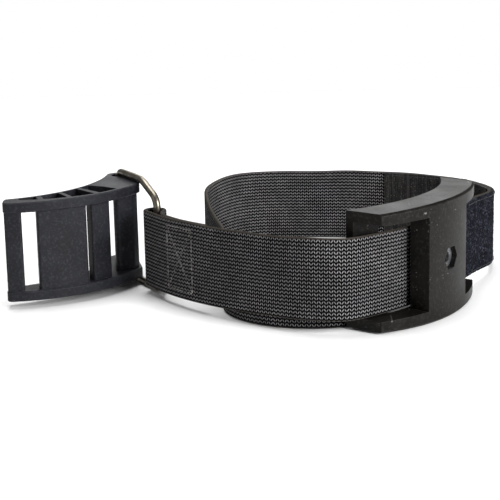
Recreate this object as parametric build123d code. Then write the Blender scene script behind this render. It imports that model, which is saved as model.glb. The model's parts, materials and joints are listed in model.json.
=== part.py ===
from build123d import *
import math
import os

# Cylinder band of webbing with a saddle plate, a wire bail and a cam lever, standing on edge.
# Millimetres, +Z up. The layout is drawn about the axis of the cylinder that the saddle plate
# fits, then moved so that the origin is at the centre of the finished object's base.

# Webbing
WEB_WIDTH = 50.0
WEB_THICK = 2.4
WEB_RADIUS_IN_SADDLE = 94.3
SADDLE_WEB_Z = 8.5
EYE_WEB_Z = 5.4
BACK_WEB_Z = 0.3
LAYER_GAP = 0.1

# Tapes and thread
LOOP_TAPE_THICK = 2.4
HOOK_TAPE_THICK = 1.3
TAPE_INSET = 0.5
THREAD_THICK = 0.4
THREAD_WIDTH = 0.9
THREAD_LIFT = 0.05
LOOP_TAPE_HIDDEN = 32.0
SEAM_INSET = 2.0
STITCH_BOX_LENGTH = 25.0
STITCH_BOX_HEIGHT = 40.0
STITCH_BOX_RISE = 0.6
STITCH_LEAD = 9.0
STITCH_HALF_SPAN = 18.0

# Saddle plate
CYLINDER_RADIUS = 92.0
SADDLE_ANGLE = -36.0
SADDLE_OUTER_RADIUS = 112.4
SADDLE_HALF_LENGTH = 56.0
SADDLE_HEIGHT = 73.6
SADDLE_CROWN = 1.2
SADDLE_EDGE = 1.3
FLANGE_THICK = 8.0
BLOCK_HALF_WIDTH = 22.5
BLOCK_INNER_RADIUS = 99.5
BAR_INNER_EDGE = 41.5
BAR_OUTER_RADIUS = 96.0
NUT_FLATS = 13.0
NUT_THICK = 5.0
NUT_CLEARANCE = 0.1
NUT_BORE_RADIUS = 3.4
NUT_POCKET_DEPTH = 8.4
NUT_SEAT_HOLE_RADIUS = 4.6

# Wire bail
WIRE_RADIUS = 2.4
WIRE_CLEAR_IN_EYE = 2.6
WIRE_OFF_EYE_CENTRE = Vector(1.4, 0.5)
WIRE_CLEAR_IN_LEVER = 0.08
BAIL_BEND = 4.5
BAIL_EYE_BEND = 4.6
BAIL_EYE_TOP_BEND = 9.0
BAIL_TOP_Z = 71.1
BAIL_EYE_TOP_Z = 61.5
BAIL_SHOULDER = 34.0
BAIL_SHOULDER_BEND = 22.0
BAIL_BUTT_Z = 30.0
BAIL_BUTT_GAP = 0.3

# Cam lever
LEVER_BOTTOM = 4.95
LEVER_HEIGHT = 63.5
RAIL_THICK = 6.5
LEVER_CENTRE = Vector(-188.4, 63.4)
LEVER_RADIUS = 95.5
TIP_ANGLE = -86.8
NOSE_ANGLE = -24.4
PIVOT = Vector(-116.5, 51.0)
BOSS_RADIUS = 9.5
RAIL_WALL = 2.0
RAIL_BACK_MIDDLE = Vector(-140.4, 13.2)
TIP_DEPTH = 12.5
RECESS_CLEAR_RADIUS = 0.9
RECESS_CLEAR_DEPTH = 0.35
POCKET_DEPTH = 4.2
POCKET_ANGLES = [(-80.5, -72.7), (-70.4, -60.9), (-58.9, -49.2), (-46.7, -37.5)]
TIP_CORNER = 3.0
RAIL_EDGE = 0.6
BAR_ROOT = 1.2
BAR_CORNER = 1.6
# Tip bar, wide panel and narrow panel, as depths of the back and front faces behind the lever's
# front arc, and the angles between which each one lies.
LEVER_BARS = [(10.5, 1.2, -86.5, -79.75), (8.0, 1.5, -74.0, -53.6), (11.0, 4.0, -50.5, -40.9)]
CAM_BAR_CORNERS = [
    (-118.0, 13.5), (-106.0, 19.5), (-103.5, 26.0), (-108.0, 51.0),
    (-112.0, 58.0), (-120.8, 56.0), (-121.0, 46.0),
]
CAM_BAR_CORNER = 3.0

# Centreline stretches of the webbing as (length, turn in degrees), read away from the saddle
# plate's middle: first clockwise round to the sewn eye, then the other way round to the tail.
SADDLE_TO_LEFT = [(60, -20)]
FRONT_STRAND = [(16, -42), (28, -24), (60, -12), (45, -12), (23, -5)]
EYE_WRAP_TURN = 220.0
FLAP_LENGTH = 40.0
SADDLE_TO_RIGHT = [(56, 8)]
RIGHT_BEND = [(32, -1), (40, 26), (48, 36)]
BACK_STRAND = [(30, 29), (32, 11), (13, 5), (71, 11)]
LEFT_BEND = [(30, 50), (26, 21), (35, 22), (101, 9)]
TAIL = [(16, -10), (36, 45), (49, 47), (44, 37)]

OUTER = -WEB_THICK / 2
INNER = WEB_THICK / 2


def unit(angle):
    return Vector(math.cos(math.radians(angle)), math.sin(math.radians(angle)))


def walk(point, heading, steps):
    """Start point and heading of every stretch, and those of the chain's end."""
    stations = [(point, heading)]
    for length, turn in steps:
        chord = length
        if turn:
            half = math.radians(abs(turn)) / 2
            chord = length * math.sin(half) / half
        point = point + unit(heading + turn / 2) * chord
        heading = heading + turn
        stations.append((point, heading))
    return stations


def side_edges(point, heading, steps, offset):
    """One side of a strip: the chain moved to the left of its travel by offset."""
    edges = []
    for (start, angle), (length, turn) in zip(walk(point, heading, steps), steps):
        first = start + unit(angle + 90) * offset
        if turn:
            radius = length / math.radians(abs(turn))
            radius = radius - math.copysign(offset, offset * turn)
            edges.append(JernArc(first, unit(angle), radius, turn))
        else:
            edges.append(Line(first, first + unit(angle) * length))
    return edges


def strip(point, heading, steps, low, high):
    """Plan face of a strip between two offsets to the left of a chain of tangent arcs."""
    side_a = side_edges(point, heading, steps, low)
    side_b = side_edges(point, heading, steps, high)
    ends = [Line(side_a[0] @ 0, side_b[0] @ 0), Line(side_a[-1] @ 1, side_b[-1] @ 1)]
    return make_face([*side_a, *side_b, *ends])


def upright(face, z, height):
    return extrude(Pos(0, 0, z) * face, height)


def sloping(face, start, start_z, end, end_z, height):
    """Strip whose lower edge climbs evenly from one plan point to another."""
    rise = end_z - start_z
    along = (end - start) + Vector(0, 0, rise)
    across = Vector(-along.Y, along.X, 0)
    plane = Plane(Vector(start.X, start.Y, start_z), x_dir=along, z_dir=along.cross(across))
    slab = plane * Box(600, 600, height, align=(Align.CENTER, Align.CENTER, Align.MIN))
    return upright(face, -30, 150) & slab


def arc_between(radius, angle_a, angle_b):
    """Arc of the lever, from its own centre of curvature."""
    points = [LEVER_CENTRE + unit(a) * radius for a in (angle_a, (angle_a + angle_b) / 2, angle_b)]
    return ThreePointArc(*points)


def lever_sector(inner, outer, angle_a, angle_b):
    near = arc_between(outer, angle_a, angle_b)
    far = arc_between(inner, angle_a, angle_b)
    return make_face([near, far, Line(near @ 0, far @ 0), Line(near @ 1, far @ 1)])


def saddle_local(shape):
    """Turns a shape drawn with the plate's middle on +X to the plate's place."""
    return Rot(0, 0, SADDLE_ANGLE) * shape


def bow(height, crown, half_length, thickness_axis_x):
    """Side outline of the plate: level ends, with a slight crown above and below."""
    top = ThreePointArc(
        (-half_length, height - crown), (0, height), (half_length, height - crown)
    )
    low = ThreePointArc((-half_length, crown), (0, 0), (half_length, crown))
    sides = [Line(top @ 0, low @ 0), Line(top @ 1, low @ 1)]
    outline = make_face([top, low, *sides])
    plane = Plane(origin=(0, 0, 0), x_dir=(0, 1, 0), z_dir=(1, 0, 0))
    return extrude(plane * outline, thickness_axis_x)


# Webbing stations shared by several pieces
saddle_middle = unit(SADDLE_ANGLE) * WEB_RADIUS_IN_SADDLE
heading_right = SADDLE_ANGLE + 90
heading_left = heading_right + 180
left_side = walk(saddle_middle, heading_left, SADDLE_TO_LEFT)
front = walk(*left_side[-1], FRONT_STRAND)
right_side = walk(saddle_middle, heading_right, SADDLE_TO_RIGHT)
right = walk(*right_side[-1], RIGHT_BEND)
back = walk(*right[-1], BACK_STRAND)
left = walk(*back[-1], LEFT_BEND)
tail = walk(*left[-1], TAIL)

eye_end, eye_heading = front[-1]
eye_radius = WIRE_RADIUS + WIRE_CLEAR_IN_EYE + WEB_THICK / 2
eye_centre = eye_end + unit(eye_heading - 90) * eye_radius
EYE_AXIS = eye_centre + WIRE_OFF_EYE_CENTRE


def on_front_strand(face):
    """The front strand climbs from the eye to the saddle plate."""
    start, end = front[-1][0], front[0][0]
    return sloping(face, start, EYE_WEB_Z, end, SADDLE_WEB_Z, WEB_WIDTH)


def on_right_bend(face, inset=0.0):
    """The right bend comes down from the saddle plate to the table."""
    start, end = right[0][0], right[-1][0]
    low, high = BACK_WEB_Z + inset, SADDLE_WEB_Z + inset
    return sloping(face, start, high, end, low, WEB_WIDTH - 2 * inset)


def webbing_in_saddle():
    halves = [
        strip(saddle_middle, heading_left, SADDLE_TO_LEFT, OUTER, INNER),
        strip(saddle_middle, heading_right, SADDLE_TO_RIGHT, OUTER, INNER),
    ]
    solids = [upright(face, SADDLE_WEB_Z, WEB_WIDTH) for face in halves]
    return solids[0] + solids[1]


def webbing_front():
    return on_front_strand(strip(*front[0], FRONT_STRAND, OUTER, INNER))


def flap_steps():
    """Round the wire, back to the front strand, then along it to the end of the flap."""
    wrap = math.radians(EYE_WRAP_TURN) * eye_radius
    leave, heading = walk(*front[-1], [(wrap, -EYE_WRAP_TURN)])[-1]
    meet, strand_heading = front[-2]
    target = meet + unit(strand_heading - 90) * (WEB_THICK + LAYER_GAP)
    turn = strand_heading - 180 - heading
    along = (target - leave).dot(unit(heading))
    aside = (target - leave).dot(unit(heading + 90))
    radius = aside / (1 - math.cos(math.radians(turn)))
    straight = along - radius * math.sin(math.radians(turn))
    strand_length, strand_turn = FRONT_STRAND[-2]
    flap_radius = strand_length / math.radians(-strand_turn) - WEB_THICK - LAYER_GAP
    flap_turn = math.degrees(FLAP_LENGTH / flap_radius)
    return [
        (wrap, -EYE_WRAP_TURN),
        (straight, 0),
        (radius * math.radians(turn), turn),
        (FLAP_LENGTH, flap_turn),
    ]


def webbing_eye():
    return on_front_strand(strip(*front[-1], flap_steps(), OUTER, INNER))


def webbing_right():
    return on_right_bend(strip(*right[0], RIGHT_BEND, OUTER, INNER))


def webbing_back():
    return upright(strip(*back[0], BACK_STRAND, OUTER, INNER), 0, WEB_WIDTH)


def webbing_left():
    return upright(strip(*left[0], LEFT_BEND, OUTER, INNER), 0, WEB_WIDTH)


def webbing_tail():
    return upright(strip(*tail[0], TAIL, OUTER, INNER), 0, WEB_WIDTH)


def loop_tape():
    """Fuzzy tape on the outside of the right bend, beginning inside the saddle plate."""
    length, turn = SADDLE_TO_RIGHT[0]
    lead_turn = turn * LOOP_TAPE_HIDDEN / length
    start = walk(saddle_middle, heading_right, [(LOOP_TAPE_HIDDEN, lead_turn)])[-1]
    steps = [(length - LOOP_TAPE_HIDDEN, turn - lead_turn)]
    inner = OUTER - LAYER_GAP
    outer = inner - LOOP_TAPE_THICK
    face = strip(*start, steps, outer, inner)
    in_saddle = upright(face, SADDLE_WEB_Z + TAPE_INSET, WEB_WIDTH - 2 * TAPE_INSET)
    return in_saddle + on_right_bend(strip(*right[0], RIGHT_BEND, outer, inner), TAPE_INSET)


def hook_tape():
    """Hook tape on the inside of the loop, from the right bend to the back strand."""
    inner = INNER + LAYER_GAP
    outer = inner + HOOK_TAPE_THICK
    on_bend = on_right_bend(strip(*right[-2], RIGHT_BEND[-1:], inner, outer), TAPE_INSET)
    face = strip(*back[0], BACK_STRAND[:2], inner, outer)
    return on_bend + upright(face, TAPE_INSET, WEB_WIDTH - 2 * TAPE_INSET)


def thread_strip(stations, steps, face_offset, side):
    near = face_offset + side * THREAD_LIFT
    far = near + side * THREAD_THICK
    return strip(*stations, steps, min(near, far), max(near, far))


def eye_stitching():
    """Box and cross sewn through the front strand and the flap behind it."""
    length, turn = FRONT_STRAND[-3]
    begin = walk(*front[-3], [(STITCH_LEAD, turn * STITCH_LEAD / length)])[-1]
    half = (STITCH_HALF_SPAN, turn * STITCH_HALF_SPAN / length)
    steps = [half, half]
    layer = thread_strip(begin, steps, INNER, 1)
    sheet = on_front_strand(layer)
    middle_point, middle_heading = walk(*begin, [half])[-1]
    frame = Plane(
        origin=(middle_point.X, middle_point.Y, EYE_WEB_Z + WEB_WIDTH / 2 + STITCH_BOX_RISE),
        x_dir=unit(middle_heading),
        z_dir=unit(middle_heading + 90),
    )
    strokes = []
    for height in (-STITCH_BOX_HEIGHT / 2, STITCH_BOX_HEIGHT / 2):
        strokes.append(Pos(0, height) * Rectangle(STITCH_BOX_LENGTH, THREAD_WIDTH))
    for place in (-STITCH_BOX_LENGTH / 2, STITCH_BOX_LENGTH / 2):
        strokes.append(Pos(place, 0) * Rectangle(THREAD_WIDTH, STITCH_BOX_HEIGHT))
    diagonal = math.hypot(STITCH_BOX_LENGTH, STITCH_BOX_HEIGHT)
    lean = math.degrees(math.atan2(STITCH_BOX_HEIGHT, STITCH_BOX_LENGTH))
    for angle in (lean, -lean):
        strokes.append(Rot(0, 0, angle) * Rectangle(diagonal, THREAD_WIDTH))
    pattern = strokes[0]
    for stroke in strokes[1:]:
        pattern = pattern + stroke
    return sheet & extrude(frame * pattern, 12, both=True)


def edge_thread(solid_of, inset):
    """Two rows of stitching along a tape's long edges."""
    rows = []
    for z in (inset, WEB_WIDTH - inset - THREAD_WIDTH):
        rows.append(solid_of(z))
    return rows[0] + rows[1]


def loop_tape_stitching():
    face = thread_strip(right[0], RIGHT_BEND, OUTER - LAYER_GAP - LOOP_TAPE_THICK, -1)
    start, end = right[0][0], right[-1][0]

    def row(z):
        return sloping(face, start, SADDLE_WEB_Z + z, end, BACK_WEB_Z + z, THREAD_WIDTH)

    return edge_thread(row, SEAM_INSET)


def hook_tape_stitching():
    offset = INNER + LAYER_GAP + HOOK_TAPE_THICK
    face = thread_strip(back[0], BACK_STRAND[:2], offset, 1)

    def row(z):
        return upright(face, z, THREAD_WIDTH)

    return edge_thread(row, SEAM_INSET)


def saddle_plate():
    """One moulding: two flanges, a bar at each end and a central block with a nut pocket."""
    ring = Circle(SADDLE_OUTER_RADIUS) - Circle(CYLINDER_RADIUS)
    window = Pos(100, 0) * Rectangle(100, 2 * SADDLE_HALF_LENGTH)
    sector = ring & window
    body = upright(sector, -5, SADDLE_HEIGHT + 10)
    body = body & bow(SADDLE_HEIGHT, SADDLE_CROWN, SADDLE_HALF_LENGTH, 150)
    outer_edges = body.edges().filter_by(lambda e: e.length > 60)
    outer_edges = outer_edges.filter_by(lambda e: e.center().X > CYLINDER_RADIUS + 8)
    body = chamfer(outer_edges, SADDLE_EDGE)
    clear_height = SADDLE_HEIGHT - 2 * FLANGE_THICK
    passage = upright(sector, FLANGE_THICK, clear_height)
    bar_ring = Circle(BAR_OUTER_RADIUS) - Circle(CYLINDER_RADIUS)
    bar_depth = SADDLE_HALF_LENGTH - BAR_INNER_EDGE
    for side in (-1, 1):
        place = side * (SADDLE_HALF_LENGTH - bar_depth / 2)
        bar = bar_ring & (Pos(90, place) * Rectangle(60, bar_depth))
        passage = passage - upright(bar, FLANGE_THICK, clear_height)
    block_ring = Circle(SADDLE_OUTER_RADIUS) - Circle(BLOCK_INNER_RADIUS)
    block = block_ring & (Pos(100, 0) * Rectangle(60, 2 * BLOCK_HALF_WIDTH))
    passage = passage - upright(block, FLANGE_THICK, clear_height)
    body = body - passage
    middle = SADDLE_HEIGHT / 2
    across = Plane(origin=(SADDLE_OUTER_RADIUS, 0, middle), x_dir=(0, 1, 0), z_dir=(-1, 0, 0))
    pocket = RegularPolygon(NUT_FLATS / 2 + NUT_CLEARANCE, 6, major_radius=False)
    body = body - extrude(across * pocket, NUT_POCKET_DEPTH)
    body = body - extrude(across * Circle(NUT_SEAT_HOLE_RADIUS), 40)
    return saddle_local(body)


def saddle_nut():
    """Hexagon nut at the bottom of the block's pocket."""
    middle = SADDLE_HEIGHT / 2
    seat = SADDLE_OUTER_RADIUS - NUT_POCKET_DEPTH
    plane = Plane(origin=(seat, 0, middle), x_dir=(0, 1, 0), z_dir=(1, 0, 0))
    nut = extrude(plane * RegularPolygon(NUT_FLATS / 2, 6, major_radius=False), NUT_THICK)
    nut = nut - extrude(plane * Circle(NUT_BORE_RADIUS), NUT_THICK)
    cone = plane * Pos(0, 0, NUT_THICK / 2) * Cone(
        NUT_FLATS / 2 + NUT_THICK, NUT_FLATS / 2 - 0.1, NUT_THICK
    )
    return saddle_local(nut & cone)


def wire_bail():
    """Closed wire link; its ends butt together half way up the leg in the sewn eye."""
    reach = (EYE_AXIS - PIVOT).length
    outline = [
        (reach, BAIL_BUTT_Z - BAIL_BUTT_GAP / 2),
        (reach, WIRE_RADIUS),
        (0, WIRE_RADIUS),
        (0, BAIL_TOP_Z),
        (BAIL_SHOULDER, BAIL_TOP_Z),
        (reach, BAIL_EYE_TOP_Z),
        (reach, BAIL_BUTT_Z + BAIL_BUTT_GAP / 2),
    ]
    along = (EYE_AXIS - PIVOT).normalized()
    points = [PIVOT + along * distance + Vector(0, 0, z) for distance, z in outline]
    bends = [BAIL_EYE_BEND, BAIL_BEND, BAIL_BEND, BAIL_SHOULDER_BEND, BAIL_EYE_TOP_BEND]
    path = FilletPolyline(*points, radius=bends)
    section = Plane(origin=path @ 0, z_dir=path % 0) * Circle(WIRE_RADIUS)
    return sweep(section, path)


def rail_outline():
    front_edge = arc_between(LEVER_RADIUS, TIP_ANGLE, NOSE_ANGLE)
    boss_start = PIVOT + unit(8) * BOSS_RADIUS
    boss_end = PIVOT + unit(160) * BOSS_RADIUS
    boss = ThreePointArc(boss_start, PIVOT + unit(84) * BOSS_RADIUS, boss_end)
    tip_back = LEVER_CENTRE + unit(TIP_ANGLE) * (LEVER_RADIUS - TIP_DEPTH)
    back_edge = ThreePointArc(boss_end, RAIL_BACK_MIDDLE, tip_back)
    nose = Line(front_edge @ 1, boss_start)
    tip = Line(tip_back, front_edge @ 0)
    return make_face([front_edge, nose, boss, back_edge, tip])


def lever_pockets():
    """Plan of the cored-out pockets in each rail, with ribs left between them."""
    points = [
        LEVER_CENTRE + unit(-82) * (LEVER_RADIUS - 9.0),
        LEVER_CENTRE + unit(-62) * (LEVER_RADIUS - 4.2),
        LEVER_CENTRE + unit(-36) * (LEVER_RADIUS - 2.8),
    ]
    limit = ThreePointArc(*points)
    far = LEVER_CENTRE + unit(-60) * 30
    zone = make_face([limit, Line(limit @ 1, far), Line(far, limit @ 0)])
    room = offset(rail_outline(), -RAIL_WALL) & zone
    pockets = []
    for angle_a, angle_b in POCKET_ANGLES:
        pockets.append(room & lever_sector(40, LEVER_RADIUS + 5, angle_a, angle_b))
    return pockets


def cam_bar_plan():
    bar = make_face(Polyline(*CAM_BAR_CORNERS, close=True))
    return fillet(bar.vertices(), CAM_BAR_CORNER)


def cam_lever():
    """One moulding: two crescent rails joined by a tip bar, two panels and the cam bar."""
    rail = rail_outline()
    low = LEVER_BOTTOM
    high = LEVER_BOTTOM + LEVER_HEIGHT
    rails = []
    for z in (low, high - RAIL_THICK):
        solid = upright(rail, z, RAIL_THICK)
        ends = solid.edges().filter_by(Axis.Z).sort_by(Axis.X)[:2]
        solid = fillet(ends, TIP_CORNER)
        front_and_back = solid.edges().filter_by(GeomType.CIRCLE).sort_by(SortBy.LENGTH)[-4:]
        rails.append(chamfer(front_and_back, RAIL_EDGE))
    span_z = low + RAIL_THICK - BAR_ROOT
    span = LEVER_HEIGHT - 2 * RAIL_THICK + 2 * BAR_ROOT
    lever = rails[0] + rails[1]
    for deep, shallow, angle_a, angle_b in LEVER_BARS:
        face = lever_sector(LEVER_RADIUS - deep, LEVER_RADIUS - shallow, angle_a, angle_b)
        bar = upright(face, span_z, span)
        lever = lever + fillet(bar.edges().filter_by(Axis.Z), BAR_CORNER)
    lever = lever + upright(cam_bar_plan(), span_z, span)
    for pocket in lever_pockets():
        lever = lever - upright(pocket, high - POCKET_DEPTH, POCKET_DEPTH)
        lever = lever - upright(pocket, low, POCKET_DEPTH)
    axis = Pos(PIVOT.X, PIVOT.Y, 0)
    lever = lever - axis * Cylinder(WIRE_RADIUS + WIRE_CLEAR_IN_LEVER, 300)
    recess_depth = BAIL_BEND - WIRE_RADIUS + RECESS_CLEAR_DEPTH
    recess = Cylinder(BAIL_BEND + RECESS_CLEAR_RADIUS, 2 * recess_depth)
    for z in (low, high):
        lever = lever - axis * Pos(0, 0, z) * recess
    return lever


PIECES = {
    "webbing_in_saddle": webbing_in_saddle,
    "webbing_front": webbing_front,
    "webbing_eye": webbing_eye,
    "webbing_right": webbing_right,
    "webbing_back": webbing_back,
    "webbing_left": webbing_left,
    "webbing_tail": webbing_tail,
    "loop_tape": loop_tape,
    "hook_tape": hook_tape,
    "eye_stitching": eye_stitching,
    "loop_tape_stitching": loop_tape_stitching,
    "hook_tape_stitching": hook_tape_stitching,
    "saddle_plate": saddle_plate,
    "saddle_nut": saddle_nut,
    "wire_bail": wire_bail,
    "cam_lever": cam_lever,
}


def build():
    """Every piece in the finished frame, and the shift that took it there."""
    shapes = {name: make() for name, make in PIECES.items()}
    whole = Compound(children=[Compound(s.solids()) for s in shapes.values()]).bounding_box()
    shift = Vector(-whole.center().X, -whole.center().Y, -whole.min.Z)
    moved = {name: Pos(shift) * shape for name, shape in shapes.items()}
    return moved, shift


def main():
    os.makedirs("parts", exist_ok=True)
    pieces, shift = build()
    for name, shape in pieces.items():
        export_step(shape, f"parts/{name}.step")
        print(name, len(shape.solids()), round(shape.volume))
    print("origin lies at", shift * -1, "from the cylinder axis")


if __name__ == "__main__":
    main()
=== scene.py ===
import json
import math

import bpy
import numpy as np
from mathutils import Matrix, Vector


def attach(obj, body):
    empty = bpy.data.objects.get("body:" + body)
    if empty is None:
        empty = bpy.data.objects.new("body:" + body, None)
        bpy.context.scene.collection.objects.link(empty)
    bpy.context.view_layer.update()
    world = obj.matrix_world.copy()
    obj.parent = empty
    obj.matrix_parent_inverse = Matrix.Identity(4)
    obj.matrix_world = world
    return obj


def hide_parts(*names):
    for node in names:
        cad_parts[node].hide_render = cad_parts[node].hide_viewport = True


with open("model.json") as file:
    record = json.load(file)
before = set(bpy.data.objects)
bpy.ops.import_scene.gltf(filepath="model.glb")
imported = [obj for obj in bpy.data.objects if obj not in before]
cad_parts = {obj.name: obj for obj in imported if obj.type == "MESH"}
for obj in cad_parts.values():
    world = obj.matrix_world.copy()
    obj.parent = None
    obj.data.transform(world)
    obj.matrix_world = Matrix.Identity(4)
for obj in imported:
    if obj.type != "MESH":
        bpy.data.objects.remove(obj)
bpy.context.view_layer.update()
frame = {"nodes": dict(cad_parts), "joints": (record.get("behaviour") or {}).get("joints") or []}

# Visual model of the dive belt band, in metres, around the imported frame: woven webbing, pile and
# hook tape, stitching, moulded lever and saddle plate, wire bail. Heights are above the strap's
# lower edge; "side" is the distance to the left of a route's direction of travel.

MM = 0.001

# Webbing, as in the frame
WEB_WIDTH = 50.0 * MM
WEB_THICK = 2.4 * MM
EDGE_RADIUS = 1.0 * MM
LAYER_GAP = 0.1 * MM
SADDLE_WEB_Z = 8.5 * MM
EYE_WEB_Z = 5.4 * MM
BACK_WEB_Z = 0.3 * MM
SADDLE_ANGLE = -36.0
WEB_RADIUS_IN_SADDLE = 94.3 * MM
EYE_INNER_RADIUS = 5.0 * MM
EYE_WRAP_TURN = 220.0
FLAP_LENGTH = 40.0 * MM
LOOP_TAPE_THICK = 2.4 * MM
HOOK_TAPE_THICK = 1.3 * MM
HOOK_TAPE_ON_BEND = 48.0 * MM
HOOK_TAPE_ON_BACK = 62.0 * MM
TAPE_INSET = 0.5 * MM
LOOP_TAPE_HIDDEN = 32.0 * MM

# Stitching
EYE_BOX_SETBACK = 18.0 * MM
EYE_BOX_HALF_LENGTH = 12.5 * MM
EYE_BOX_LOW = 5.6 * MM
EYE_BOX_HIGH = 45.6 * MM
SEAM_STEP = 3.0 * MM
SEAM_INSET = 2.4 * MM
SEAM_THREAD = 0.5 * MM

# Camera: degrees, millimetres of lens, and metres from the cylinder's axis
CAMERA_PITCH = 14.04
CAMERA_ROLL = -1.21
CAMERA_LENS = 113.28
CAMERA_LEFT = 0.03016
CAMERA_BACK = 0.98293
CAMERA_HEIGHT = 0.2734

# Weave
RIB_PITCH = 1.45 * MM
ROW_PITCH = 2.3 * MM
RIB_HEIGHT = 0.09 * MM
SAMPLES_PER_RIB = 4
SAMPLES_PER_ROW = 4


def joint_point(name):
    joint = next(j for j in frame["joints"] if j["name"] == name)
    return Vector(joint["pos_m"])


CYLINDER_AXIS = joint_point("saddle_slide").to_2d()


# ---------------------------------------------------------------- routes of the webbing


def unit(angle):
    turned = np.radians(angle)
    return np.stack([np.cos(turned), np.sin(turned)], axis=-1)


class Route:
    """A chain of tangent arcs in plan, as (length, turn in degrees) steps.

    The climb gives the height of the strap's lower edge, from one plan point to another.
    """

    def __init__(self, start, heading, steps, climb=None):
        self.starts = [np.array(start, float)]
        self.headings = [float(heading)]
        self.distances = [0.0]
        self.steps = steps
        self.climb = climb or (0.0, None, None, 0.0)
        for length, turn in steps:
            self.starts.append(self.starts[-1] + self.chord(self.headings[-1], length, turn, 1.0))
            self.headings.append(self.headings[-1] + turn)
            self.distances.append(self.distances[-1] + length)
        self.length = self.distances[-1]
        self.end = (self.starts[-1], self.headings[-1])

    @staticmethod
    def chord(heading, length, turn, share):
        """Step from an arc's start to the point at that share of it."""
        half = math.radians(turn) * np.asarray(share) / 2
        reach = length * share * np.sinc(half / math.pi)
        return unit(heading + turn * np.asarray(share) / 2) * np.expand_dims(reach, -1)

    def at(self, distance):
        """Plan points and headings at distances along the chain."""
        distance = np.asarray(distance, float)
        points = np.zeros(distance.shape + (2,))
        headings = np.zeros(distance.shape)
        last = len(self.steps) - 1
        for i, (length, turn) in enumerate(self.steps):
            low = -np.inf if i == 0 else self.distances[i]
            high = np.inf if i == last else self.distances[i + 1]
            here = (distance >= low) & (distance < high)
            share = (distance[here] - self.distances[i]) / length
            points[here] = self.starts[i] + self.chord(self.headings[i], length, turn, share)
            headings[here] = self.headings[i] + turn * share
        return points, headings

    def lower_edge(self, points):
        low, start, end, high = self.climb
        if start is None:
            return np.full(points.shape[:-1], low)
        along = np.array(end) - np.array(start)
        share = np.clip((points - start) @ along / (along @ along), 0, 1)
        return low + (high - low) * share * share * (3 - 2 * share)

    def place(self, distance, side, height):
        """Points in the row frame."""
        points, headings = self.at(distance)
        low = self.lower_edge(points)
        plan = points + unit(headings + 90) * np.expand_dims(side, -1)
        return np.concatenate([plan, np.expand_dims(low + height, -1)], axis=-1)


def level(z):
    return (z, None, None, z)


def make_routes():
    """The strap's stretches, by CAD node."""
    middle = np.array(CYLINDER_AXIS) + unit(SADDLE_ANGLE) * WEB_RADIUS_IN_SADDLE
    to_right = SADDLE_ANGLE + 90
    saddle_left = Route(middle, to_right + 180, [(0.060, -20)], level(SADDLE_WEB_Z))
    saddle_right = Route(middle, to_right, [(0.056, 8)], level(SADDLE_WEB_Z))
    front_steps = [(0.016, -42), (0.028, -24), (0.060, -12), (0.045, -12), (0.023, -5)]
    front = Route(*saddle_left.end, front_steps)
    front.climb = (EYE_WEB_Z, front.end[0], front.starts[0], SADDLE_WEB_Z)
    eye = Route(*front.end, flap_steps(front), front.climb)
    right = Route(*saddle_right.end, [(0.032, -1), (0.040, 26), (0.048, 36)])
    right.climb = (SADDLE_WEB_Z, right.starts[0], right.end[0], BACK_WEB_Z)
    back = Route(*right.end, [(0.030, 29), (0.032, 11), (0.013, 5), (0.071, 11)])
    left = Route(*back.end, [(0.030, 50), (0.026, 21), (0.035, 22), (0.101, 9)])
    tail = Route(*left.end, [(0.016, -10), (0.036, 45), (0.049, 47), (0.044, 37)])
    return {
        "saddle_left": saddle_left,
        "saddle_right": saddle_right,
        "webbing_front": front,
        "webbing_eye": eye,
        "webbing_right": right,
        "webbing_back": back,
        "webbing_left": left,
        "webbing_tail": tail,
    }


def flap_steps(front):
    """Round the wire, back to the front strand, then along it to the end of the flap."""
    end, heading = front.end
    radius = EYE_INNER_RADIUS + WEB_THICK / 2
    wrap = math.radians(EYE_WRAP_TURN) * radius
    around = Route(end, heading, [(wrap, -EYE_WRAP_TURN)])
    leave, leaving = around.end
    meet, strand_heading = front.starts[-2], front.headings[-2]
    target = meet + unit(strand_heading - 90) * (WEB_THICK + LAYER_GAP)
    turn = strand_heading - 180 - leaving
    along = (target - leave) @ unit(leaving)
    aside = (target - leave) @ unit(leaving + 90)
    blend_radius = aside / (1 - math.cos(math.radians(turn)))
    straight = along - blend_radius * math.sin(math.radians(turn))
    strand_length, strand_turn = front.steps[-2]
    flap_radius = strand_length / math.radians(-strand_turn) - WEB_THICK - LAYER_GAP
    flap_turn = math.degrees(FLAP_LENGTH / flap_radius)
    blend = blend_radius * math.radians(turn)
    return [(wrap, -EYE_WRAP_TURN), (straight, 0), (blend, turn), (FLAP_LENGTH, flap_turn)]


ROUTES = make_routes()


# ---------------------------------------------------------------- mesh helpers


def make_mesh(name, vertices, faces, material, attributes=None, smooth=True):
    mesh = bpy.data.meshes.new(name)
    mesh.from_pydata(np.asarray(vertices).reshape(-1, 3).tolist(), [], faces)
    mesh.materials.append(material)
    if smooth:
        mesh.polygons.foreach_set("use_smooth", [True] * len(mesh.polygons))
    for key, values in (attributes or {}).items():
        kind = "FLOAT_VECTOR" if values.ndim == 2 else "FLOAT"
        layer = mesh.attributes.new(key, kind, "POINT")
        layer.data.foreach_set("vector" if values.ndim == 2 else "value", values.astype(np.float32).ravel())
    mesh.update()
    piece = bpy.data.objects.new(name, mesh)
    bpy.context.scene.collection.objects.link(piece)
    return piece


def tube_faces(items, rings, sides):
    """Faces of capped tubes whose points are numbered item by item, ring by ring."""
    ring = np.arange(rings - 1)[:, None] * sides
    side = np.arange(sides)[None, :]
    after = (side + 1) % sides
    corners = [ring + side, ring + after, ring + sides + after, ring + sides + side]
    walls = np.stack(corners, -1).reshape(-1, 4)
    faces = []
    first_cap = list(range(sides))[::-1]
    last_cap = list(range((rings - 1) * sides, rings * sides))
    for item in range(items):
        start = item * rings * sides
        faces.extend((walls + start).tolist())
        faces.append([i + start for i in first_cap])
        faces.append([i + start for i in last_cap])
    return faces


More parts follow.
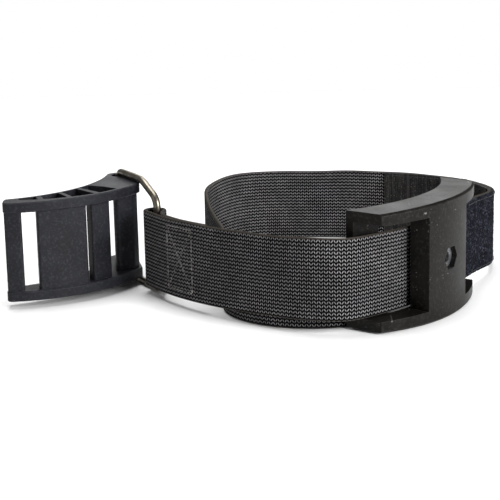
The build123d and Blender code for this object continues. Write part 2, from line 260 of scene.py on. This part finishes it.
def dress(piece, body, material_slot, *nodes):
    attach(piece, body)
    if nodes:
        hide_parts(*nodes)
    return piece


# ---------------------------------------------------------------- material helpers


class Shader:
    """A Principled material, with short calls for the nodes that feed it."""

    def __init__(self, name, **sockets):
        self.material = bpy.data.materials.new(name)
        self.material.use_nodes = True
        self.tree = self.material.node_tree
        self.surface = self.tree.nodes["Principled BSDF"]
        for socket, value in sockets.items():
            self.surface.inputs[socket.replace("_", " ")].default_value = value

    def node(self, kind, **settings):
        made = self.tree.nodes.new(kind)
        for key, value in settings.items():
            setattr(made, key, value)
        return made

    def feed(self, target, value):
        if isinstance(value, bpy.types.NodeSocket):
            self.tree.links.new(value, target)
        else:
            target.default_value = value

    def math(self, operation, *values, clamp=False):
        made = self.node("ShaderNodeMath", operation=operation, use_clamp=clamp)
        for target, value in zip(made.inputs, values):
            self.feed(target, value)
        return made.outputs[0]

    def ramp(self, value, low, high):
        """0 below low, 1 above high, smooth between."""
        made = self.node("ShaderNodeMapRange", interpolation_type="SMOOTHSTEP")
        self.feed(made.inputs["Value"], value)
        made.inputs["From Min"].default_value = low
        made.inputs["From Max"].default_value = high
        return made.outputs["Result"]

    def mix(self, share, low, high):
        """Colours from low to high."""
        made = self.node("ShaderNodeMix", data_type="RGBA")
        self.feed(made.inputs[0], share)
        self.feed(made.inputs[6], low)
        self.feed(made.inputs[7], high)
        return made.outputs[2]

    def attribute(self, name):
        return self.node("ShaderNodeAttribute", attribute_name=name)

    def places(self, scale=(1, 1, 1), rotation=(0, 0, 0)):
        """Object coordinates, stretched and turned."""
        source = self.node("ShaderNodeTexCoord")
        made = self.node("ShaderNodeMapping")
        self.feed(made.inputs["Vector"], source.outputs["Object"])
        made.inputs["Scale"].default_value = scale
        made.inputs["Rotation"].default_value = rotation
        return made.outputs["Vector"]

    def noise(self, scale, detail=3.0, roughness=0.55, vector=None, distortion=0.0):
        made = self.node("ShaderNodeTexNoise")
        made.inputs["Scale"].default_value = scale
        made.inputs["Detail"].default_value = detail
        made.inputs["Roughness"].default_value = roughness
        made.inputs["Distortion"].default_value = distortion
        self.feed(made.inputs["Vector"], vector if vector is not None else self.places())
        return made.outputs["Fac"]

    def bump(self, height, distance, strength=1.0, normal=None):
        made = self.node("ShaderNodeBump")
        made.inputs["Strength"].default_value = strength
        made.inputs["Distance"].default_value = distance
        self.feed(made.inputs["Height"], height)
        if normal is not None:
            self.feed(made.inputs["Normal"], normal)
        return made.outputs["Normal"]

    def paint(self, colour=None, roughness=None, normal=None):
        fed = (("Base Color", colour), ("Roughness", roughness), ("Normal", normal))
        for socket, value in fed:
            if value is not None:
                self.feed(self.surface.inputs[socket], value)
        return self.material


def webbing_material():
    """Black nylon webbing: slanted yarns that lean one way in one rib and the other way in the next. The pale
    flecks on the yarn crowns are painted highlights, glints of the nylon put into the base colour.
    """
    look = Shader("woven_webbing", Specular_IOR_Level=0.02)
    strap = look.node("ShaderNodeSeparateXYZ")
    look.feed(strap.inputs[0], look.attribute("strap").outputs["Vector"])
    along = look.math("DIVIDE", strap.outputs["X"], RIB_PITCH / MM)
    rib = look.math("FLOOR", along)
    across_rib = look.math("SUBTRACT", look.math("FRACT", along), 0.5)
    lean = look.math("SUBTRACT", 1.0, look.math("MULTIPLY", look.math("FLOORED_MODULO", rib, 2.0), 2.0))
    slant = look.math("MULTIPLY", look.math("MULTIPLY", across_rib, lean), 0.9)
    row = look.math("ADD", look.math("DIVIDE", strap.outputs["Y"], ROW_PITCH / MM), slant)
    across_row = look.math("ABSOLUTE", look.math("SUBTRACT", look.math("FRACT", row), 0.5))
    yarn = look.ramp(across_row, 0.23, 0.06)
    crown = look.ramp(look.math("ABSOLUTE", across_rib), 0.38, 0.20)
    face = look.math("MULTIPLY", yarn, crown)
    cell = look.node("ShaderNodeCombineXYZ")
    look.feed(cell.inputs[0], rib)
    look.feed(cell.inputs[1], look.math("FLOOR", row))
    chance = look.node("ShaderNodeTexWhiteNoise", noise_dimensions="3D")
    look.feed(chance.inputs["Vector"], cell.outputs[0])
    # Noise patches scale the painted highlights up and down. This is painted uneven light along the strap, not
    # wear.
    worn = look.ramp(look.noise(38.0, 2.0), 0.35, 0.75)
    glint_strength = look.math("MULTIPLY_ADD", chance.outputs["Value"], 0.35, 0.65)
    glint_strength = look.math("MULTIPLY", glint_strength, look.math("MULTIPLY_ADD", worn, 0.35, 0.65))
    painted_glint = look.math("MULTIPLY", face, glint_strength, clamp=True)
    # Painted highlight: the yarn crowns take a pale grey base colour over near-black, in place of the glints of
    # the nylon.
    colour = look.mix(painted_glint, (0.0010, 0.0010, 0.0012, 1), (0.48, 0.47, 0.48, 1))
    selvage = look.attribute("edge").outputs["Fac"]
    fibre = look.noise(2600.0, 2.0)
    edge_colour = look.mix(fibre, (0.008, 0.007, 0.006, 1), (0.085, 0.074, 0.062, 1))
    colour = look.mix(look.math("MULTIPLY", selvage, 0.8), colour, edge_colour)
    relief = look.bump(face, 0.16 * MM, 0.9)
    relief = look.bump(fibre, 0.05 * MM, 0.5, relief)
    roughness = look.math("MULTIPLY_ADD", painted_glint, -0.2, 0.72)
    return look.paint(colour, roughness, relief)


def pile_material():
    """Fuzzy loop pile, blue-black with pale specks."""
    look = Shader("loop_pile", Sheen_Weight=0.02, Sheen_Roughness=0.4, Specular_IOR_Level=0.05)
    speck = look.ramp(look.noise(620.0, 2.0, 0.7), 0.54, 0.70)
    patch = look.ramp(look.noise(120.0, 3.0), 0.3, 0.8)
    colour = look.mix(patch, (0.002, 0.002, 0.004, 1), (0.010, 0.011, 0.017, 1))
    colour = look.mix(speck, colour, (0.060, 0.064, 0.082, 1))
    return look.paint(colour, 0.9, look.bump(look.noise(900.0, 3.0), 0.5 * MM, 0.9))


def hook_material():
    """Dark hook nylon with upright streaks and pale dots."""
    look = Shader("hook_nylon", Specular_IOR_Level=0.25)
    streak = look.ramp(look.noise(1.0, 3.0, 0.6, look.places((420, 420, 30))), 0.42, 0.72)
    dot = look.ramp(look.noise(1100.0, 1.0), 0.64, 0.74)
    colour = look.mix(streak, (0.003, 0.003, 0.0035, 1), (0.036, 0.033, 0.030, 1))
    colour = look.mix(dot, colour, (0.14, 0.135, 0.125, 1))
    roughness = look.math("MULTIPLY_ADD", streak, 0.25, 0.4)
    return look.paint(colour, roughness, look.bump(look.noise(2500.0, 2.0), 0.06 * MM, 0.6))


def thread_material(name, dark, light):
    look = Shader(name, Sheen_Weight=0.05, Specular_IOR_Level=0.2)
    twist = look.node("ShaderNodeTexWave", wave_type="BANDS", bands_direction="DIAGONAL")
    twist.inputs["Scale"].default_value = 900.0
    twist.inputs["Distortion"].default_value = 1.5
    look.feed(twist.inputs["Vector"], look.places())
    worn = look.ramp(look.noise(260.0, 2.0), 0.34, 0.66)
    share = look.math("MULTIPLY_ADD", twist.outputs["Fac"], 0.45, 0.25)
    share = look.math("MULTIPLY", share, look.math("MULTIPLY_ADD", worn, 1.0, 0.25), clamp=True)
    return look.paint(look.mix(share, dark, light), 0.6, look.bump(twist.outputs["Fac"], 0.05 * MM, 0.6))


def scratches(look, amount):
    """Fine straight nicks in three directions, as one value from 0 to 1."""
    total = None
    for turn, tilt, scale in ((0.3, 0.5, 1.0), (1.2, -0.4, 0.8), (2.3, 0.9, 1.3)):
        stretched = look.places((520 * scale, 16 * scale, 520 * scale), (tilt, 0.4 * tilt, turn))
        line = look.ramp(look.noise(1.0, 1.0, 0.5, stretched), 0.72 - amount, 0.80 - amount)
        total = line if total is None else look.math("MAXIMUM", total, line)
    where = look.ramp(look.noise(70.0, 2.0), 0.45, 0.62)
    return look.math("MULTIPLY", total, where)


def wear(look, width):
    """1 on worn edges, from the angle between the true and the rounded normal."""
    rounded = look.node("ShaderNodeBevel", samples=6)
    rounded.inputs["Radius"].default_value = width
    flat = look.node("ShaderNodeNewGeometry")
    product = look.node("ShaderNodeVectorMath", operation="DOT_PRODUCT")
    look.feed(product.inputs[0], rounded.outputs[0])
    look.feed(product.inputs[1], flat.outputs["Normal"])
    return look.ramp(product.outputs["Value"], 0.995, 0.93), rounded.outputs[0]


def moulding_material(
    name, dark, light, edge, grain_scale, grain_share, scratch_amount, base_roughness, shine
):
    """Glass-filled nylon moulding: spark-eroded grain, scuffs, nicks and pale worn edges."""
    look = Shader(name, Specular_IOR_Level=shine)
    grain = look.noise(grain_scale, 3.0, 0.6)
    cloud = look.ramp(look.noise(45.0, 4.0, 0.6), 0.3, 0.75)
    colour = look.mix(cloud, dark, light)
    colour = look.mix(look.math("MULTIPLY", look.ramp(grain, 0.48, 0.72), grain_share), colour, edge)
    nick = scratches(look, scratch_amount)
    colour = look.mix(look.math("MULTIPLY", nick, 0.6), colour, (0.22, 0.215, 0.21, 1))
    worn, rounded = wear(look, 0.45 * MM)
    scuffed = look.math("MULTIPLY", worn, look.ramp(look.noise(160.0, 3.0), 0.3, 0.7))
    colour = look.mix(look.math("MULTIPLY", scuffed, 0.55), colour, edge)
    roughness = look.math("MULTIPLY_ADD", cloud, 0.12, base_roughness)
    relief = look.bump(grain, 0.09 * MM, 0.8, rounded)
    relief = look.bump(look.math("MULTIPLY", nick, -1.0), 0.05 * MM, 0.6, relief)
    return look.paint(colour, roughness, relief)


def steel_material(name, dark, light, base_roughness):
    """Drawn steel with fine draw lines, dull patches and small pits."""
    look = Shader(name, Metallic=1.0)
    cloud = look.ramp(look.noise(110.0, 4.0, 0.6), 0.3, 0.8)
    lines = look.noise(1.0, 2.0, 0.6, look.places((2600, 2600, 180)))
    pits = look.ramp(look.noise(1400.0, 2.0), 0.68, 0.8)
    colour = look.mix(cloud, dark, light)
    colour = look.mix(look.math("MULTIPLY", pits, 0.6), colour, (0.12, 0.10, 0.08, 1))
    roughness = look.math("MULTIPLY_ADD", lines, 0.22, base_roughness)
    relief = look.bump(lines, 0.012 * MM, 0.5)
    return look.paint(colour, roughness, relief)


# ---------------------------------------------------------------- webbing


def section(width, thick):
    """Round a strap's section, as side, height, edge share and face direction of each point."""
    half, flat = thick / 2, width - 2 * EDGE_RADIUS
    rows = round(flat / ROW_PITCH * SAMPLES_PER_ROW)
    up = EDGE_RADIUS + flat * np.arange(rows + 1) / rows
    turn = np.radians([60, 30, 0, -30, -60])
    side = [np.full(len(up), half), half * np.sin(turn), np.full(len(up), -half), -half * np.sin(turn)]
    round_top = EDGE_RADIUS + flat + EDGE_RADIUS * np.cos(turn)
    height = [up, round_top, up[::-1], EDGE_RADIUS - EDGE_RADIUS * np.cos(turn)]
    edge = [np.zeros(len(up)), np.ones(5), np.zeros(len(up)), np.ones(5)]
    return np.concatenate(side), np.concatenate(height), np.concatenate(edge)


def weave_relief(along, height):
    """Height of the woven ribs above the flat face."""
    rib = np.cos(2 * np.pi * along / RIB_PITCH)
    column = np.floor(along / RIB_PITCH)
    row = np.cos(np.pi * (height / ROW_PITCH * 2 + column))
    return RIB_HEIGHT * (0.7 * rib + 0.3 * row)


def strap_drift(along):
    """Slow unevenness of a hand-laid strap."""
    return 0.25 * MM * np.sin(along / 0.0173) + 0.15 * MM * np.sin(along / 0.0071 + 1.3)


def webbing_piece(name, parts, start, material, nodes):
    """One stretch of webbing from parts given as (route, from, to); the weave runs on from start."""
    side, height, edge = section(WEB_WIDTH, WEB_THICK)
    rings, alongs = [], []
    travelled = start
    for route, begin, end in parts:
        span = abs(end - begin)
        count = max(2, round(span / RIB_PITCH * SAMPLES_PER_RIB))
        places = begin + (end - begin) * np.arange(count + 1) / count
        alongs.append(travelled + np.abs(places - begin))
        flip = 1 if end > begin else -1
        rings.append((route, places, flip))
        travelled += span
    blocks, coordinates = [], []
    for (route, places, flip), along in zip(rings, alongs):
        grid_along = np.repeat(along[:, None], len(side), axis=1)
        grid_height = np.repeat(height[None, :], len(along), axis=0)
        lift = weave_relief(grid_along, grid_height) * (1 - edge)
        lift = lift + edge * 0.07 * MM * np.cos(2 * np.pi * (grid_along / RIB_PITCH + side / WEB_THICK))
        outward = np.sign(side) * lift
        grid_side = flip * (side[None, :] + outward)
        distance = np.repeat(places[:, None], len(side), axis=1)
        wobble = strap_drift(grid_along) * (grid_height / WEB_WIDTH)
        blocks.append(route.place(distance, grid_side, grid_height + wobble))
        faces_out = np.repeat(np.sign(side)[None, :], len(along), axis=0)
        coordinates.append(np.stack([grid_along / MM, grid_height / MM + 100 * (faces_out < 0), faces_out], -1))
    points = blocks[0]
    strap = coordinates[0]
    for block, coordinate in zip(blocks[1:], coordinates[1:]):
        points = np.concatenate([points, block[1:]])
        strap = np.concatenate([strap, coordinate[1:]])
    faces = tube_faces(1, len(points), len(side))
    edges = np.repeat(edge[None, :], len(points), axis=0)
    attributes = {"strap": strap.reshape(-1, 3), "edge": edges.reshape(-1)}
    piece = make_mesh(name, points, faces, material, attributes)
    dress(piece, "webbing", "webbing", *nodes)
    return travelled


def whole(route):
    return (route, 0.0, route.length)


def make_webbing():
    material = webbing_material()
    eye, front = ROUTES["webbing_eye"], ROUTES["webbing_front"]
    saddle = [(ROUTES["saddle_left"], ROUTES["saddle_left"].length, 0.0), whole(ROUTES["saddle_right"])]
    stretches = [
        ("strap_eye", [(eye, eye.length, 0.0)], "webbing_eye"),
        ("strap_front", [(front, front.length, 0.0)], "webbing_front"),
        ("strap_saddle", saddle, "webbing_in_saddle"),
        ("strap_right", [whole(ROUTES["webbing_right"])], "webbing_right"),
        ("strap_back", [whole(ROUTES["webbing_back"])], "webbing_back"),
        ("strap_left", [whole(ROUTES["webbing_left"])], "webbing_left"),
        ("strap_tail", [whole(ROUTES["webbing_tail"])], "webbing_tail"),
    ]
    travelled = 0.0
    for name, parts, node in stretches:
        travelled = webbing_piece(name, parts, travelled, material, [node])


# ---------------------------------------------------------------- hook and loop tape


def slab(name, parts, near, far, material, body, slot, nodes, bumpy=0.0, step=0.5 * MM, seed=1):
    """A flat tape between two offsets from the webbing's centreline; its far face is uneven by bumpy."""
    random = np.random.default_rng(seed)
    width = WEB_WIDTH - 2 * TAPE_INSET
    rows = round(width / step)
    up = TAPE_INSET + width * np.arange(rows + 1) / rows
    side = np.concatenate([np.full(rows + 1, near), np.full(rows + 1, far)])
    height = np.concatenate([up, up[::-1]])
    face = np.concatenate([np.zeros(rows + 1), np.ones(rows + 1)])
    if far < near:
        side, height, face = side[::-1], height[::-1], face[::-1]
    blocks = []
    for route, begin, end in parts:
        count = max(2, round((end - begin) / step))
        places = begin + (end - begin) * np.arange(count + 1) / count
        if blocks:
            places = places[1:]
        distance = np.repeat(places[:, None], len(side), axis=1)
        rough = random.normal(0, 1, distance.shape) * bumpy * face[None, :]
        sides = side[None, :] + np.sign(far - near) * (rough - 0.4 * np.abs(rough))
        blocks.append(route.place(distance, sides, np.repeat(height[None, :], len(places), axis=0)))
    points = np.concatenate(blocks)
    piece = make_mesh(name, points, tube_faces(1, len(points), len(side)), material)
    return dress(piece, body, slot, *nodes)


def scatter(parts, count, random):
    """Random places on a tape, as (route, distance) arrays and heights."""
    spans = np.array([end - begin for _, begin, end in parts])
    chosen = random.choice(len(parts), count, p=spans / spans.sum())
    result = []
    for i, (route, begin, end) in enumerate(parts):
        number = int((chosen == i).sum())
        distance = begin + (end - begin) * random.random(number)
        height = TAPE_INSET + (WEB_WIDTH - 2 * TAPE_INSET) * random.random(number)
        result.append((route, distance, height))
    return result


def fibres(name, parts, near, reach, count, material, seed):
    """Short curled fibres standing on a tape."""
    random = np.random.default_rng(seed)
    rings, sides = 4, 3
    tubes = []
    for route, distance, height in scatter(parts, count, random):
        number = len(distance)
        lean_along = random.normal(0, 0.7, number) * MM
        lean_up = random.normal(0, 0.7, number) * MM
        curl = random.uniform(-1, 1, number) * 0.4 * MM
        tall = reach * random.uniform(0.55, 1.0, number)
        for_ring = []
        for k in range(rings):
            share = k / (rings - 1)
            bend = np.sin(share * np.pi) * curl
            radius = 0.055 * MM * (1 - 0.6 * share)
            for_side = []
            for j in range(sides):
                turn = 2 * np.pi * j / sides
                along = distance + lean_along * share + bend + radius * np.cos(turn)
                up = height + lean_up * share + radius * np.sin(turn)
                out = near + np.sign(reach) * np.abs(tall) * np.sin(share * np.pi / 2)
                for_side.append(route.place(along, out, up))
            for_ring.append(np.stack(for_side, axis=1))
        tubes.append(np.stack(for_ring, axis=1))
    points = np.concatenate(tubes)
    return make_mesh(name, points, tube_faces(len(points), rings, sides), material)


def make_loop_tape():
    material = pile_material()
    route_a, route_b = ROUTES["saddle_right"], ROUTES["webbing_right"]
    parts = [(route_a, LOOP_TAPE_HIDDEN, route_a.length), whole(route_b)]
    near = -WEB_THICK / 2 - LAYER_GAP
    ground = near - 0.62 * LOOP_TAPE_THICK
    slab("loop_tape_ground", parts, near, ground, material, "webbing", "loop_tape", ["loop_tape"], 0.22 * MM)
    pile = fibres("loop_tape_pile", parts, ground + 0.2 * MM, -0.45 * LOOP_TAPE_THICK, 9000, material, 11)
    dress(pile, "webbing", "loop_tape")


def make_hook_tape():
    material = hook_material()
    right, back = ROUTES["webbing_right"], ROUTES["webbing_back"]
    parts = [(right, right.length - HOOK_TAPE_ON_BEND, right.length), (back, 0.0, HOOK_TAPE_ON_BACK)]
    near = WEB_THICK / 2 + LAYER_GAP
    ground = near + 0.5 * HOOK_TAPE_THICK
    slab("hook_tape_ground", parts, near, ground, material, "webbing", "hook_tape", ["hook_tape"], 0.03 * MM)
    rings, sides = 4, 4
    profile = [(0.0, 0.20, 0.0), (0.55, 0.15, 0.0), (0.85, 0.26, 0.12), (1.0, 0.12, 0.25)]
    tubes = []
    tall = HOOK_TAPE_THICK - 0.5 * HOOK_TAPE_THICK
    random = np.random.default_rng(7)
    for route, begin, end in parts:
        lines = np.arange(begin + 0.6 * MM, end - 0.4 * MM, 1.45 * MM)
        rows = np.arange(TAPE_INSET + 3.2 * MM, WEB_WIDTH - TAPE_INSET - 3.0 * MM, 1.15 * MM)
        distance, height = (a.ravel() for a in np.meshgrid(lines, rows))
        distance = distance + random.normal(0, 0.09, distance.shape) * MM
        lean = random.choice([-1, 1], distance.shape)
        ring_points = []
        for share, radius, shift in profile:
            corner_points = []
            for j in range(sides):
                turn = 2 * np.pi * (j + 0.5) / sides
                along = distance + (radius * np.cos(turn) + shift * lean) * MM
                up = height + radius * np.sin(turn) * MM
                corner_points.append(route.place(along, np.full(along.shape, ground + tall * share), up))
            ring_points.append(np.stack(corner_points, axis=1))
        tubes.append(np.stack(ring_points, axis=1))
    points = np.concatenate(tubes)
    hooks = make_mesh("hook_tape_hooks", points, tube_faces(len(points), rings, sides), material)
    dress(hooks, "webbing", "hook_tape")


# ---------------------------------------------------------------- stitching


def stitches(name, route, lines, side, outward, material, diameter=0.6 * MM, pitch=2.9 * MM, seed=3):
    """Lockstitches along lines given as ((distance, height), (distance, height)) on a route's face."""
    random = np.random.default_rng(seed)
    rings, sides = 7, 6
    tubes = []
    for (s0, h0), (s1, h1) in lines:
        length = math.hypot(s1 - s0, h1 - h0)
        count = max(1, round(length / pitch))
        for i in range(count):
            begin, end = (i + 0.08) / count, (i + 0.92) / count
            tone = random.uniform(0.9, 1.1)
            drift = random.normal(0, 0.12, 2) * MM
            share = np.linspace(begin, end, rings)
            hump = np.sin(np.linspace(0, np.pi, rings))
            distance = s0 + (s1 - s0) * share + drift[0] * hump
            height = h0 + (h1 - h0) * share + drift[1] * hump
            lift = -0.25 * diameter + 0.6 * diameter * hump ** 0.6
            radius = diameter / 2 * tone * (0.55 + 0.45 * hump)
            across = np.array([-(h1 - h0), s1 - s0]) / length
            ring_points = []
            for j in range(sides):
                turn = 2 * np.pi * j / sides
                flat = radius * np.cos(turn)
                out = side + outward * (lift + radius * np.sin(turn))
                ring_points.append(route.place(distance + across[0] * flat, out, height + across[1] * flat))
            tubes.append(np.stack(ring_points, axis=1))
    points = np.stack(tubes)
    return make_mesh(name, points, tube_faces(len(points), rings, sides), material)


def seam_lines(length):
    """Two rows along a tape, in steps of one stitch."""
    rows = (SEAM_INSET, WEB_WIDTH - SEAM_INSET)
    steps = range(int(length / SEAM_STEP))
    return [((k * SEAM_STEP, h), ((k + 1) * SEAM_STEP, h)) for h in rows for k in steps]


def make_stitching():
    pale = thread_material("eye_thread", (0.010, 0.010, 0.010, 1), (0.46, 0.45, 0.42, 1))
    black = thread_material("tape_thread", (0.006, 0.006, 0.008, 1), (0.06, 0.06, 0.065, 1))
    front = ROUTES["webbing_front"]
    middle = front.distances[-2] - EYE_BOX_SETBACK
    near, far = middle - EYE_BOX_HALF_LENGTH, middle + EYE_BOX_HALF_LENGTH
    low, high = EYE_BOX_LOW, EYE_BOX_HIGH
    corners = [(near, low), (far, low), (far, high), (near, high)]
    lines = list(zip(corners, corners[1:] + corners[:1]))
    lines += [(corners[0], corners[2]), (corners[1], corners[3])]
    box = stitches("eye_box_stitching", front, lines, WEB_THICK / 2, 1, pale)
    dress(box, "webbing", "eye_thread", "eye_stitching")
    right, back = ROUTES["webbing_right"], ROUTES["webbing_back"]
    face = -WEB_THICK / 2 - LAYER_GAP - 0.9 * LOOP_TAPE_THICK
    lines = seam_lines(right.length)
    seam = stitches("loop_tape_seams", right, lines, face, -1, black, SEAM_THREAD)
    dress(seam, "webbing", "tape_thread", "loop_tape_stitching")
    face = WEB_THICK / 2 + LAYER_GAP + 0.5 * HOOK_TAPE_THICK
    lines = seam_lines(HOOK_TAPE_ON_BACK)
    seam = stitches("hook_tape_seams", back, lines, face, 1, black, SEAM_THREAD)
    dress(seam, "webbing", "tape_thread", "hook_tape_stitching")


# ---------------------------------------------------------------- hard parts


def finish_hard_parts():
    """The saddle plate, nut, bail and lever keep their CAD shapes and take finished materials."""
    saddle = moulding_material(
        "saddle_moulding",
        dark=(0.0022, 0.0019, 0.0016, 1),
        light=(0.0085, 0.0075, 0.0065, 1),
        edge=(0.075, 0.071, 0.066, 1),
        grain_scale=520.0,
        grain_share=0.16,
        scratch_amount=0.0,
        base_roughness=0.36,
        shine=0.10,
    )
    lever = moulding_material(
        "lever_moulding",
        dark=(0.007, 0.0072, 0.0095, 1),
        light=(0.014, 0.0145, 0.019, 1),
        edge=(0.080, 0.082, 0.098, 1),
        grain_scale=620.0,
        grain_share=0.20,
        scratch_amount=-0.14,
        base_roughness=0.46,
        shine=0.17,
    )
    wire = steel_material("bail_steel", (0.15, 0.135, 0.105, 1), (0.36, 0.33, 0.28, 1), 0.24)
    nut = steel_material("nut_steel", (0.38, 0.39, 0.41, 1), (0.66, 0.67, 0.70, 1), 0.25)
    finishes = {"saddle_plate": saddle, "cam_lever": lever, "wire_bail": wire, "saddle_nut": nut}
    for node, material in finishes.items():
        piece = frame["nodes"][node]
        for place in range(len(piece.material_slots)):
            piece.material_slots[place].material = material


# ---------------------------------------------------------------- studio


def area_light(name, place, target, size, power, colour=(1, 1, 1)):
    data = bpy.data.lights.new(name, "AREA")
    data.shape = "DISK"
    data.size = size
    data.energy = power
    data.color = colour
    lamp = bpy.data.objects.new(name, data)
    lamp.location = place
    lamp.rotation_euler = (Vector(target) - Vector(place)).to_track_quat("-Z", "Y").to_euler()
    bpy.context.scene.collection.objects.link(lamp)


def make_floor():
    look = Shader("pale_floor", Roughness=0.8, Specular_IOR_Level=0.1)
    tone = look.noise(6.0, 2.0)
    material = look.paint(look.mix(tone, (0.93, 0.93, 0.93, 1), (0.95, 0.95, 0.95, 1)))
    reach = 0.85
    corners = [(-reach, -reach, 0), (reach, -reach, 0), (reach, reach, 0), (-reach, reach, 0)]
    floor = make_mesh("floor", corners, [[0, 1, 2, 3]], material, smooth=False)


def make_world():
    """White behind the object, and a dim even light on it."""
    world = bpy.data.worlds.new("studio")
    world.use_nodes = True
    tree = world.node_tree
    tree.nodes["Background"].inputs["Color"].default_value = (1, 1, 1, 1)
    seen = tree.nodes.new("ShaderNodeLightPath")
    strength = tree.nodes.new("ShaderNodeMapRange")
    strength.inputs["To Min"].default_value = 0.2
    strength.inputs["To Max"].default_value = 1.0
    tree.links.new(seen.outputs["Is Camera Ray"], strength.inputs["Value"])
    tree.links.new(strength.outputs["Result"], tree.nodes["Background"].inputs["Strength"])
    bpy.context.scene.world = world


def make_camera():
    """A long lens, nearly level, looking along +Y from in front."""
    data = bpy.data.cameras.new("view")
    data.lens = CAMERA_LENS
    data.sensor_width = 36.0
    data.clip_end = 20.0
    camera = bpy.data.objects.new("view", data)
    standpoint = (CYLINDER_AXIS.x - CAMERA_LEFT, CYLINDER_AXIS.y - CAMERA_BACK, CAMERA_HEIGHT)
    tilt = Matrix.Rotation(math.radians(90 - CAMERA_PITCH), 4, "X")
    roll = Matrix.Rotation(math.radians(CAMERA_ROLL), 4, "Z")
    camera.matrix_world = Matrix.Translation(standpoint) @ tilt @ roll
    bpy.context.scene.collection.objects.link(camera)
    bpy.context.scene.camera = camera


def make_studio():
    make_floor()
    make_world()
    make_camera()
    target = (0.02, 0.0, 0.04)
    area_light("key", (1.10, -0.90, 0.55), target, 0.9, 34)
    area_light("top", (-0.05, 0.20, 1.25), target, 1.0, 15)
    area_light("back", (0.1, 1.5, 0.8), target, 1.1, 7)
    area_light("fill", (-1.0, -0.45, 0.4), target, 0.6, 1.5)
    bpy.context.scene.view_settings.view_transform = "Standard"
    bpy.context.scene.view_settings.look = "None"


make_webbing()
make_loop_tape()
make_hook_tape()
make_stitching()
finish_hard_parts()
make_studio()
